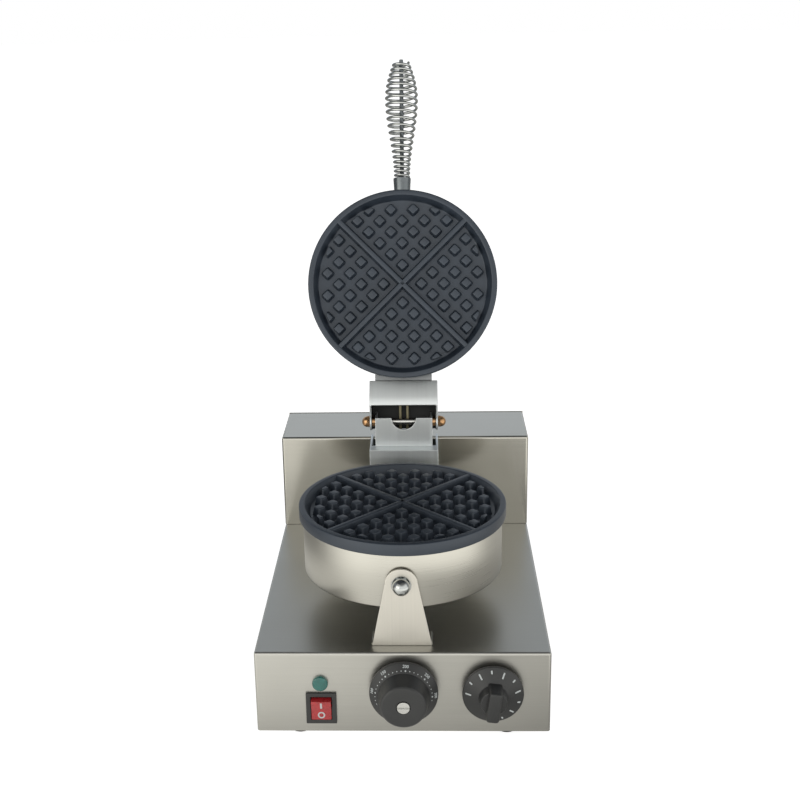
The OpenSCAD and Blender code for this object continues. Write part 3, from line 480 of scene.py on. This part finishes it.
def paint_channel_shade():
    """The faces inside the lid bracket's channel, given a near-black steel as painted shade."""
    bracket = scene.objects["soft_lid_bracket"].data
    bracket.materials.append(MAT["shade_painted_inner_steel"])
    shut = SWING.inverted()
    half_width, back = 31.8, 12                # the channel's limits in mm from the hinge
    inside = Vector((0, -20, 0))               # a point in the channel
    for face in bracket.polygons:
        at = (shut @ face.center - HINGE) / MM
        facing = (shut.to_3x3() @ face.normal).dot(inside - at)
        if abs(at.x) < half_width and facing > 0 and at.y < back:
            face.material_index = 1


paint_channel_shade()


# ---------- drums and cooking plates ----------

def drum(name, height, place):
    """Rolled drum, open at the plate's end, with a tight fold at its closed end."""
    top, bottom = -RIM_H, -RIM_H - height
    inner_r, floor = DRUM_R - DRUM_WALL, bottom + DRUM_WALL
    outline = [(0, bottom), (DRUM_R, bottom), (DRUM_R, top), (inner_r, top), (inner_r, floor), (0, floor)]
    bm = bmesh.new()
    lathe(bm, rounded(outline, [0, 1.5, 0.4, 0.4, 0.5, 0], 5), ROUND_SIDES)
    finish_mesh("skin_" + name, bm, BODY[name], MAT["drum_steel"], [name], place,
                baked=False)


drum("lower_drum", LOWER_DRUM_H, LOWER)
drum("upper_drum", UPPER_DRUM_H, UPPER)


def stud(bm, x, y, turn):
    """A tapered square stud with rounded corners, cut off round where it passes the reach."""
    levels = (
        (-PATTERN - 0.2, 10.9, 2.0), (-PATTERN + 0.25, 10.0, 1.8), (-PATTERN + 0.9, 9.4, 1.6),
        (-2.0, 7.75, 1.3), (-1.45, 7.45, 1.2), (-1.08, 6.8, 1.0), (-1.0, 5.9, 0.8),
    )
    rings = []
    for z, w, r in levels:
        ring = [Vector((x + u, y + v)) for u, v in rounded(rectangle(w, w), r, 3)]
        ring = [p * min(1, STUD_REACH / p.length) for p in ring]
        rings.append([turn @ Vector((p.x, p.y, z)) for p in ring])
    loft(bm, rings)


def rib(bm, turn):
    """One of the two bars that divide the round waffle into four."""
    reach = PLATE_R - RIM_W + 0.5              # the ribs run into the rim
    section = rounded(
        [(-3.9, -PATTERN - 0.2), (3.9, -PATTERN - 0.2), (3.2, -PATTERN + 0.9), (2.3, -0.3), (-2.3, -0.3),
         (-3.2, -PATTERN + 0.9)], [0, 0, 1.2, 0.9, 0.9, 1.2], 3)
    loft(bm, [[turn @ Vector((x, u, v)) for u, v in section] for x in (-reach, reach)])


def plate(name, place):
    """Cast plate: flat rim, sloping wall, floor with studs and two crossing ribs."""
    r = PLATE_R
    cavity, floor, skirt = r - RIM_W, r - RIM_W - 4.5, SKIRT_R
    bm = bmesh.new()
    outline = [
        (0, -PATTERN), (floor, -PATTERN), (cavity, 0), (r, 0), (r, -RIM_H), (skirt, -RIM_H),
        (skirt, SKIRT_END), (skirt - 4, SKIRT_END), (skirt - 4, -PATTERN - 4.5), (0, -PATTERN - 4.5),
    ]
    lathe(bm, rounded(outline, [0, 1.5, 1.1, 1.3, 0.8, 0.2, 0.3, 0.3, 1.0, 0], 4), ROUND_SIDES)
    for q in range(4):
        turn = Matrix.Rotation(math.radians(45 + 90 * q), 3, "Z")
        for i, count in enumerate(STUD_ROWS):
            for j in range(count):
                stud(bm, FIRST + i * PITCH, FIRST + j * PITCH, turn)
    for a in (45, 135):
        rib(bm, Matrix.Rotation(math.radians(a), 3, "Z"))
    for a in (0, 90, 180, 270):                # the bosses that take the plate's screws
        boss = Matrix.Rotation(math.radians(a), 4, "Z") @ Matrix.Translation((40, 0, 0))
        prism(bm, boss, circle(6, 24), SKIRT_END, -PATTERN - 4)
    finish_mesh("cast_" + name, bm, BODY[name], MAT["cast_plate"], [name], place, sharp=50)


plate("lower_grid", LOWER)
plate("upper_grid", UPPER)


# ---------- coil handle ----------

def coil_grip():
    """Spring grip wound from one wire: it swells near the tip and closes up towards the lid."""
    length, wire, turns, small, big, peak = 119.5, 2.6, 20, 16.4, 33.5, 38.0
    steps = 36

    def outside(t):
        if t < peak:
            return small + (big - small) * math.sin(math.pi / 2 * t / peak)
        return small + (big - small) * (1 + math.cos(math.pi * (t - peak) / (length - peak))) / 2

    path = []
    for i in range(turns * steps + 1):
        s = i / (turns * steps)
        t = wire / 2 + (length - wire) * (
            s - 0.035 * math.sin(2 * math.pi * s) + 0.02 * math.sin(math.pi * s))
        r = (outside(t) - wire) / 2
        a = 2 * math.pi * i / steps
        path.append((r * math.cos(a), t, r * math.sin(a)))
    bm = bmesh.new()
    tube(bm, path, wire / 2 * 1.06, 10)
    tip = Vector((0, PLATE_Y - (DRUM_R + FERRULE_L + length) * MM, PLATE_Z + (LID_GAP + HANDLE_H) * MM))
    finish_mesh("coil_grip", bm, BODY["handle_coil"], MAT["chrome"], ["handle_coil"],
                SWING @ Matrix.Translation(tip))


coil_grip()


# ---------- leads over the hinge ----------

def leads():
    """Two sleeved leads that bend over the hinge bolt."""
    y0 = HINGE.y / MM - 239.0                  # the route is written with the hinge at 239 mm
    route = [
        (257.6, 243.3), (255.5, 237.7), (251.5, 226), (248.5, 217), (246.5, 208), (245, 196),
        (243, 184), (240, 168), (238, 150), (237, 120), (237, 80), (237, 60),
    ]
    bm = bmesh.new()
    for x in (-3.6, 3.6):
        tube(bm, smooth_path([(x, y + y0, z) for y, z in route]), 1.3, 12)
    obj = finish_mesh("sleeved_leads", bm, None, MAT["lead_sleeve"], ["lid_leads"])
    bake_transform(obj)


leads()


# ---------- indicator lamp and rocker switch ----------

def lamp():
    """Flat round lens with a rounded edge."""
    bm = bmesh.new()
    lathe(bm, rounded([(0, 0), (6.7, 0), (6.7, 3.2), (0, 3.4)], [0, 0.1, 1.4, 0], 6), 64)
    finish_mesh("lamp_cap", bm, "base", MAT["green_lens"], ["lamp_lens"],
                on_panel("lamp_lens"))


lamp()

MARK_ROOT = 0.1                                # how deep the marks reach into the piece below


def ring_strip(bm, place, outer, inner, height, sides=40):
    """A flat printed ring."""
    rows = [
        [place @ Vector((x, y, z)) for x, y in circle(r, sides)]
        for r, z in ((outer, 0), (outer, height), (inner, height), (inner, 0))
    ]
    made = [[bm.verts.new(p) for p in row] for row in rows]
    for a, b in zip(made, made[1:] + made[:1]):
        for k in range(sides):
            bm.faces.new((a[k], a[(k + 1) % sides], b[(k + 1) % sides], b[k]))


def pad(bm, place, w, h, height, r):
    """A thin printed or moulded bar, w by h, with rounded corners."""
    prism(bm, place, rounded(rectangle(w, h), r, 4), -MARK_ROOT, height)


def rocker_switch():
    """Bezel with a sunken well, and a two-lobed rocker with its on and off marks."""
    softened("switch_body", MAT["black_plastic"], 0.7, 3)
    x = (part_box("switch_body")[0].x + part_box("switch_body")[1].x) / 2
    pivot = Vector(JOINT["rocker_tilt"]["pos_m"])
    tilt, half_w, half_h, mid = math.radians(10), 8.5, 9.7, 5.6
    slope = Matrix.Rotation(tilt, 4, "X")
    place = matrix_of((x, pivot.y, pivot.z), (1, 0, 0), (0, 0, 1), (0, -1, 0)) @ slope
    rise = half_h * math.tan(tilt)
    side = rounded(
        [(-half_h, 0), (-half_h, mid + rise), (0, mid), (half_h, mid + rise), (half_h, 0),
         (4, -5), (-4, -5)],
        [0.3, 0.8, 3.0, 0.8, 0.3, 0.5, 0.5], 5)
    rings = []
    ends = (
        (-half_w, 0.55), (-half_w + 0.2, 0.16), (-half_w + 0.6, 0),
        (half_w - 0.6, 0), (half_w - 0.2, 0.16), (half_w, 0.55),
    )
    for x_at, inset in ends:
        k = 1 - inset / half_h
        rings.append([Vector((x_at, u * k, v * k)) for u, v in side])
    bm = bmesh.new()
    loft(bm, rings)
    pin_r, pin_end = 1, 9.6
    loft(bm, [[Vector((x_at, u, v)) for u, v in circle(pin_r, 16)] for x_at in (-pin_end, pin_end)])
    finish_mesh("rocker_cap", bm, "rocker", MAT["red_plastic"], ["switch_rocker"], place)
    bm = bmesh.new()
    upper = Matrix.Translation((0, 5.2, mid + 5.2 * math.tan(tilt))) @ slope
    lower = Matrix.Translation((0, -4.9, mid + 4.9 * math.tan(tilt))) @ slope.inverted()
    pad(bm, upper, 1.7, 7.0, 0.12, 0.7)
    ring_strip(bm, lower, 3.1, 1.9, 0.12)
    finish_mesh("rocker_marks", bm, "rocker", MAT["white_mark"], (), place)


rocker_switch()


# ---------- knobs ----------

def around(angle, radius, cone):
    """A mark's frame on a dial's cone: angle clockwise from the top, its Y axis pointing outwards.

    cone is the (radius, height) of the cone's outer and inner edges.
    """
    (r0, z0), (r1, z1) = cone
    slope = (z1 - z0) / (r0 - r1)
    at = Matrix.Translation((0, radius, z0 + (r0 - radius) * slope + 0.02))
    return Matrix.Rotation(-math.radians(angle), 4, "Z") @ at @ Matrix.Rotation(-math.atan(slope), 4, "X")


def digits(bm, text, place, size, height):
    """Plain figures taken from Blender's own font and cut as thin solids."""
    curve = bpy.data.curves.new("figures", "FONT")
    curve.body, curve.size = text, size
    curve.align_x, curve.align_y = "CENTER", "CENTER"
    curve.extrude, curve.resolution_u, curve.offset = height, 3, 0.06
    holder = bpy.data.objects.new("figures", curve)
    scene.collection.objects.link(holder)
    mesh = bpy.data.meshes.new_from_object(holder.evaluated_get(bpy.context.evaluated_depsgraph_get()))
    mesh.transform(place)
    bm.from_mesh(mesh)
    bpy.data.meshes.remove(mesh)
    bpy.data.objects.remove(holder)
    bpy.data.curves.remove(curve)


def thermostat():
    """Round knob with a printed skirt, a tapered grip and a recessed slotted screw."""
    place = on_panel("thermostat_knob")
    cone = ((29.0, 8.5), (22.6, 13.5))
    outline = [
        (0, 6), (6, 6), (6, 22), (13, 22), (17, 8), (27, 5.4), (29, 6), cone[0], cone[1], (22.1, 13.7),
        (19.2, 28.9), (17.6, 30.3), (6, 30.3), (6, 28.9), (0, 28.9),
    ]
    bm = bmesh.new()
    lathe(bm, rounded(outline, [0, 0, 0.5, 1, 1, 0.3, 0.5, 0.7, 0.3, 0.3, 1.4, 0.8, 0.4, 0.1, 0], 4), 128)
    finish_mesh("thermostat_cap", bm, "thermostat_dial", MAT["black_plastic"],
                ["thermostat_knob"], place)
    softened("thermostat_knob_screw", MAT["bright_steel"], 0.25)
    bm = bmesh.new()
    middle, step = 4.3, 8.64                   # degrees: the 200 mark, and one dot to the next
    for i in range(-13, 12):
        size = 0.72 if i % 5 == 0 else 0.45
        prism(bm, around(middle + i * step, 23.9, cone), circle(size, 12), -MARK_ROOT, 0.12)
    for k, text in enumerate(("100", "150", "200", "250", "300")):
        digits(bm, text, around(middle + (k - 2) * 5 * step, 26.7, cone), 3.5, 0.14)
    finish_mesh("thermostat_scale", bm, "thermostat_dial", MAT["white_mark"], (), place)


def timer():
    """Pointer knob: printed skirt, cone hub and a bar grip with rounded ends."""
    place = on_panel("timer_shaft")
    cone = ((25.75, 7.5), (17.0, 12.0))
    outline = [(0, 5), (25.75, 5), cone[0], cone[1], (12.5, 14), (11, 22), (0, 22)]
    bm = bmesh.new()
    lathe(bm, rounded(outline, [0, 0.4, 0.8, 1.2, 1.2, 1.0, 0], 4), 112)
    turn = Matrix.Rotation(math.radians(-7), 3, "Z")
    length, middle = 28.3, -0.25               # the bar grip, and its centre above the spindle
    levels = ((11, 12.6, 0), (26.5, 10.9, 0.2), (28.2, 10.6, 0.5), (29.1, 9.8, 1.0), (29.5, 8.2, 1.9))
    rings = []
    for z, w, inset in levels:
        ring = rounded(rectangle(w, length - 2 * inset), 2.4, 5)
        rings.append([turn @ Vector((u, v + middle, z)) for u, v in ring])
    loft(bm, rings)
    finish_mesh("timer_cap", bm, "timer_dial", MAT["black_plastic"], ["timer_knob"], place)
    bm = bmesh.new()
    first, step = -85, 27.2                    # degrees: the first mark, and one mark to the next
    for i in range(10):
        reach = 5.4 if i % 2 == 0 else 3.0
        pad(bm, around(first + step * i, 23.6 - reach / 2, cone), 1.3, reach, 0.2, 0.5)
    finish_mesh("timer_scale", bm, "timer_dial", MAT["white_mark"], (), place)


thermostat()
timer()


# ---------- floor and light ----------

def calc(nodes, links, kind, operation, *values):
    """A math or vector math node. Each of its values is a socket or a plain value."""
    node = nodes.new(kind)
    node.operation = operation
    for socket, value in zip(node.inputs, values):
        if isinstance(value, bpy.types.NodeSocket):
            links.new(value, socket)
        else:
            socket.default_value = value
    return node


def room_light(nodes, links, where):
    """Soft boxes round a grey room with a dark ceiling: front left, broad front right, cool behind.

    Each box is an azimuth (0 is the front, positive to the right), an elevation, the angles at
    which it starts and stops fading, and its light.
    """
    boxes = (
        (-50, 8, 14, 30, (1.55, 1.50, 1.36)),
        (30, 10, 46, 76, (1.06, 1.04, 0.98)),
        (180, 20, 30, 75, (0.40, 0.44, 0.48)),
    )
    total = (0.30, 0.31, 0.325)                # the room itself
    for azimuth, up, full, gone, light in boxes:
        a, e = math.radians(azimuth), math.radians(up)
        towards = (math.sin(a) * math.cos(e), -math.cos(a) * math.cos(e), math.sin(e))
        dot = calc(nodes, links, "ShaderNodeVectorMath", "DOT_PRODUCT", where, towards)
        fade = nodes.new("ShaderNodeMapRange")
        fade.interpolation_type = "SMOOTHSTEP"
        fade.inputs["From Min"].default_value = math.cos(math.radians(gone))
        fade.inputs["From Max"].default_value = math.cos(math.radians(full))
        links.new(dot.outputs["Value"], fade.inputs["Value"])
        lit = fade.outputs["Result"]
        add = calc(nodes, links, "ShaderNodeVectorMath", "MULTIPLY_ADD", lit, light, total)
        total = add.outputs["Vector"]
    apart = nodes.new("ShaderNodeSeparateXYZ")
    links.new(where, apart.inputs[0])
    ceiling = nodes.new("ShaderNodeVectorMath")
    ceiling.operation = "SCALE"
    links.new(total, ceiling.inputs[0])
    links.new(spread(nodes, links, apart.outputs["Z"], 1.0, 0.2, 0.45, 0.78), ceiling.inputs["Scale"])
    return ceiling.outputs["Vector"]


def seen_or_lit(nodes, links, seen, lit):
    """One shader for what the camera sees directly, another for what lights the machine."""
    path, mix = nodes.new("ShaderNodeLightPath"), nodes.new("ShaderNodeMixShader")
    links.new(path.outputs["Is Camera Ray"], mix.inputs["Fac"])
    links.new(lit, mix.inputs[1])
    links.new(seen, mix.inputs[2])
    return mix.outputs["Shader"]


def blend_value(nodes, links, share, first, second):
    """From the first value to the second as share goes from 0 to 1."""
    mix = nodes.new("ShaderNodeMix")
    links.new(share, mix.inputs["Factor"])
    links.new(first, mix.inputs["A"])
    links.new(second, mix.inputs["B"])
    return mix.outputs["Result"]


def mirrored_floor(nodes, links):
    """What the steel mirrors: a floor lit from the front left, dark beside and behind the machine.

    Far from the machine the light depends on the direction. Close to it, the light falls off
    towards the right and towards the back.
    """
    middle, near, far = (0, -0.13, 0), 0.33, 0.43
    where = nodes.new("ShaderNodeTexCoord").outputs["Object"]
    offset = calc(nodes, links, "ShaderNodeVectorMath", "SUBTRACT", where, middle).outputs["Vector"]
    length = calc(nodes, links, "ShaderNodeVectorMath", "LENGTH", offset)
    apart = nodes.new("ShaderNodeSeparateXYZ")
    links.new(offset, apart.inputs[0])
    front = calc(nodes, links, "ShaderNodeMath", "MULTIPLY", apart.outputs["Y"], -1)
    angle = calc(nodes, links, "ShaderNodeMath", "ARCTAN2", apart.outputs["X"], front.outputs[0])
    ramp = nodes.new("ShaderNodeValToRGB")
    stops = ramp.color_ramp.elements
    brightest = 2.0
    azimuths = ((-180, 0.3), (-100, 0.25), (-78, 1.2), (-54, 2.0), (-25, 1.6), (40, 1.8), (82, 1.7),
                (106, 0.6), (180, 0.4))
    while len(stops) < len(azimuths):
        stops.new(0.5)
    for stop, (azimuth, light) in zip(stops, azimuths):
        stop.position = azimuth / 360 + 0.5
        stop.color = (light / brightest,) * 3 + (1,)
    links.new(spread(nodes, links, angle.outputs[0], 0, 1, -math.pi, math.pi), ramp.inputs["Fac"])
    far_light = calc(nodes, links, "ShaderNodeMath", "MULTIPLY", ramp.outputs["Color"], brightest)
    rightwards = spread(nodes, links, apart.outputs["X"], 1.25, 0.60, -0.16, 0.14)
    backwards = spread(nodes, links, apart.outputs["Y"], 1.0, 0.65, -0.14, -0.05)
    near_light = calc(nodes, links, "ShaderNodeMath", "MULTIPLY", rightwards, backwards)
    share = spread(nodes, links, length.outputs["Value"], 0, 1, near, far)
    return blend_value(nodes, links, share, near_light.outputs[0], far_light.outputs[0])


def floor_paper():
    """White paper with a faint contact shadow; the machine itself mirrors a greyer floor."""
    mat = bpy.data.materials.new("floor_paper")
    mat.use_nodes = True
    nodes, links = mat.node_tree.nodes, mat.node_tree.links
    nodes.remove(nodes["Principled BSDF"])
    glow, paper, add = (nodes.new(k) for k in (
        "ShaderNodeEmission", "ShaderNodeBsdfDiffuse", "ShaderNodeAddShader"))
    glow.inputs["Strength"].default_value = 0.8
    paper.inputs["Color"].default_value = (0.8, 0.8, 0.8, 1)
    links.new(glow.outputs[0], add.inputs[0])
    links.new(paper.outputs[0], add.inputs[1])
    mirrored = nodes.new("ShaderNodeEmission")
    mirrored.inputs["Color"].default_value = (1.0, 0.985, 0.93, 1)
    links.new(mirrored_floor(nodes, links), mirrored.inputs["Strength"])
    links.new(seen_or_lit(nodes, links, add.outputs[0], mirrored.outputs[0]),
              nodes["Material Output"].inputs["Surface"])
    return mat


def studio():
    """White floor, a room the camera sees as plain white, and a soft warm key at the front left."""
    bm = bmesh.new()
    bmesh.ops.create_circle(bm, cap_ends=True, radius=14, segments=64)
    mesh = bpy.data.meshes.new("floor")
    bm.to_mesh(mesh)
    bm.free()
    floor = bpy.data.objects.new("floor", mesh)
    scene.collection.objects.link(floor)
    mesh.materials.append(floor_paper())

    world = bpy.data.worlds.new("room")
    scene.world = world
    world.use_nodes = True
    nodes, links = world.node_tree.nodes, world.node_tree.links
    lit, seen = nodes["Background"], nodes.new("ShaderNodeBackground")
    seen.inputs["Color"].default_value = (1, 1, 1, 1)
    links.new(room_light(nodes, links, nodes.new("ShaderNodeTexCoord").outputs["Generated"]),
              lit.inputs["Color"])
    links.new(seen_or_lit(nodes, links, seen.outputs[0], lit.outputs[0]),
              nodes["World Output"].inputs["Surface"])

    at, target = Vector((-1.5, -1.5, 1.3)), Vector((0, 0, 0.15))
    data = bpy.data.lights.new("key", "AREA")
    data.size, data.energy, data.color = 2.2, 8, (1.0, 0.97, 0.90)
    key = bpy.data.objects.new("key", data)
    scene.collection.objects.link(key)
    aim = (target - at).to_track_quat("-Z", "Y").to_matrix().to_4x4()
    key.matrix_world = Matrix.Translation(at) @ aim
    scene.view_settings.view_transform = "Standard"


studio()
